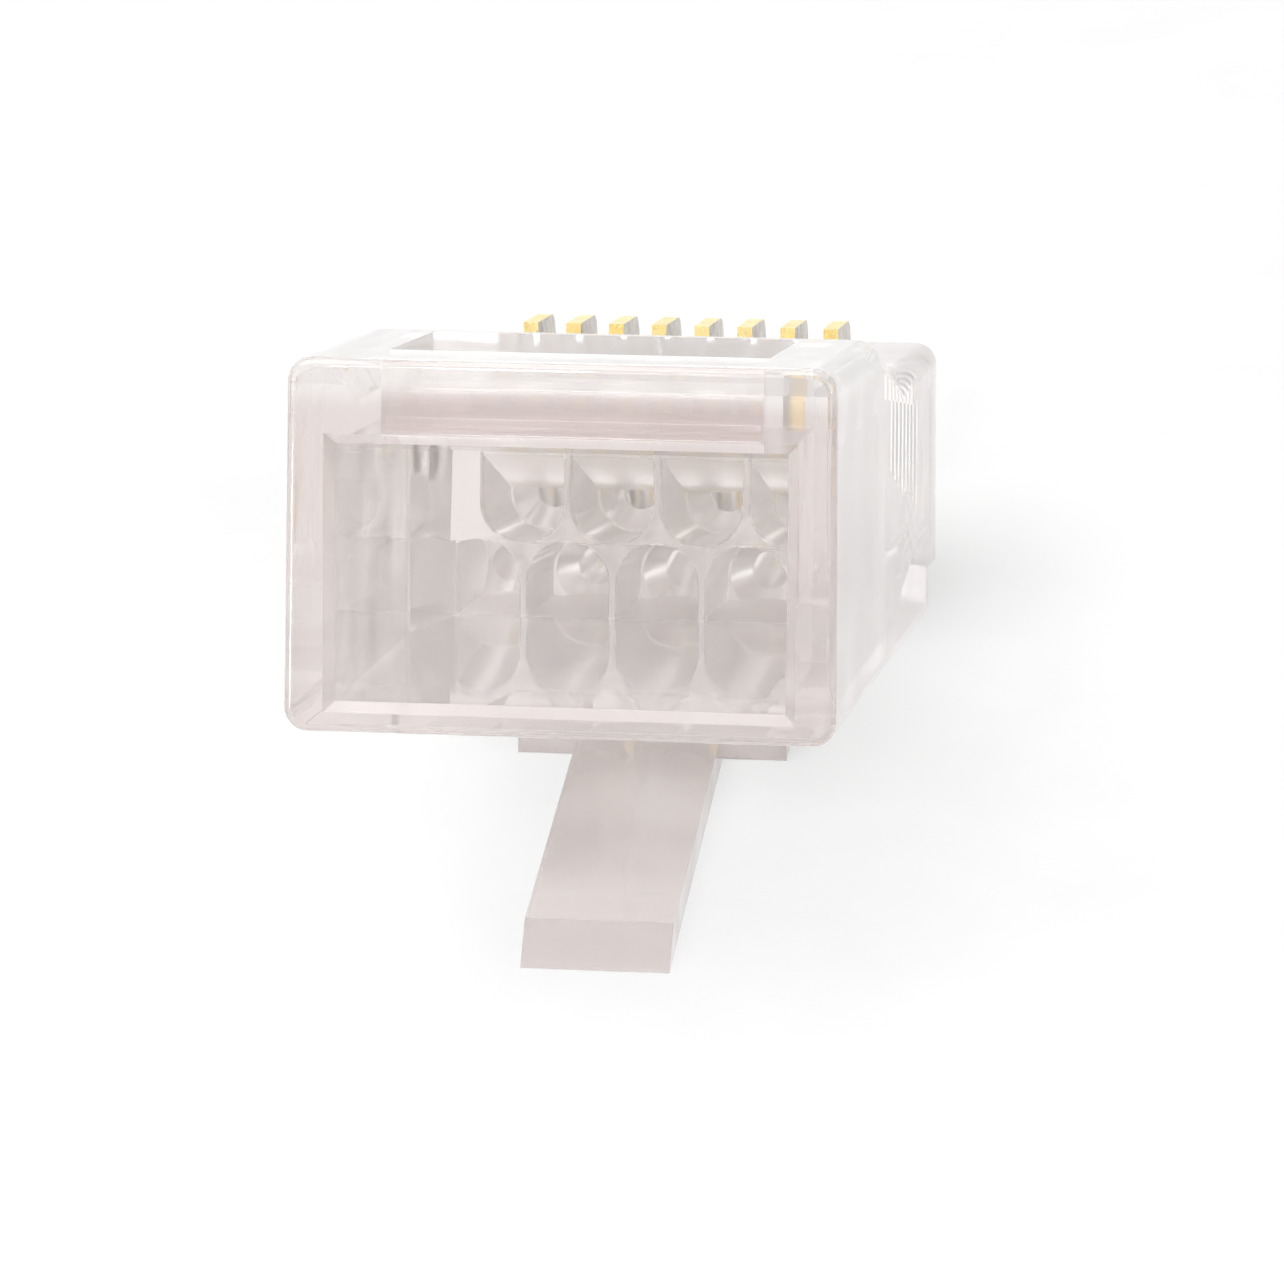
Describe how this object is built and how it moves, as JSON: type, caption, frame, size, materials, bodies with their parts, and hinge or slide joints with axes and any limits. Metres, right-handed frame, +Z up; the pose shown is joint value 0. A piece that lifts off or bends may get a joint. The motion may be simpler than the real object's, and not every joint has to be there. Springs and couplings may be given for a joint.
{
  "type": "rj45 modular plug",
  "caption": "Clear modular plug, uncrimped: open cable mouth, staggered wire guides, plated blade contacts, spring latch and crimp-down strain relief, lying on its latch.",
  "frame": {"origin": "middle of the plan at bench level, with the plug lying on the outer face of its latch", "axes": "+Z up; +X across the plug, to the right as seen from the cable end; +Y from the cable end towards the nose, which points down by the latch's angle"},
  "size_m": [0.0116, 0.0222, 0.0149],
  "materials": {
    "clear_body": "clear, polished, faintly milky",
    "plated_contact": "gold plated"
  },
  "bodies": {
    "housing": {"housing": "clear_body"},
    "latch": {"latch": "clear_body"},
    "strain_relief": {"strain_relief": "clear_body"},
    "contact_1": {"contact_1": "plated_contact"},
    "contact_2": {"contact_2": "plated_contact"},
    "contact_3": {"contact_3": "plated_contact"},
    "contact_4": {"contact_4": "plated_contact"},
    "contact_5": {"contact_5": "plated_contact"},
    "contact_6": {"contact_6": "plated_contact"},
    "contact_7": {"contact_7": "plated_contact"},
    "contact_8": {"contact_8": "plated_contact"}
  },
  "joints": [
    {"name": "latch_swing", "type": "hinge", "parent": "housing", "child": "latch", "pos_m": [0, 0.0065, 0.00035], "axis": [-1, 0, 0], "range_deg": [0, 15], "stiffness_Nm_per_rad": 0.25},
    {"name": "strain_relief_swing", "type": "hinge", "parent": "housing", "child": "strain_relief", "pos_m": [0, -0.00624, 0.01245], "axis": [-1, 0, 0], "range_deg": [0, 14]},
    {"name": "contact_1_crimp", "type": "slide", "parent": "housing", "child": "contact_1", "axis": [0, -0.36, -0.933], "range_m": [0, 0.00095]},
    {"name": "contact_2_crimp", "type": "slide", "parent": "housing", "child": "contact_2", "axis": [0, -0.36, -0.933], "range_m": [0, 0.00095]},
    {"name": "contact_3_crimp", "type": "slide", "parent": "housing", "child": "contact_3", "axis": [0, -0.36, -0.933], "range_m": [0, 0.00095]},
    {"name": "contact_4_crimp", "type": "slide", "parent": "housing", "child": "contact_4", "axis": [0, -0.36, -0.933], "range_m": [0, 0.00095]},
    {"name": "contact_5_crimp", "type": "slide", "parent": "housing", "child": "contact_5", "axis": [0, -0.36, -0.933], "range_m": [0, 0.00095]},
    {"name": "contact_6_crimp", "type": "slide", "parent": "housing", "child": "contact_6", "axis": [0, -0.36, -0.933], "range_m": [0, 0.00095]},
    {"name": "contact_7_crimp", "type": "slide", "parent": "housing", "child": "contact_7", "axis": [0, -0.36, -0.933], "range_m": [0, 0.00095]},
    {"name": "contact_8_crimp", "type": "slide", "parent": "housing", "child": "contact_8", "axis": [0, -0.36, -0.933], "range_m": [0, 0.00095]}
  ]
}
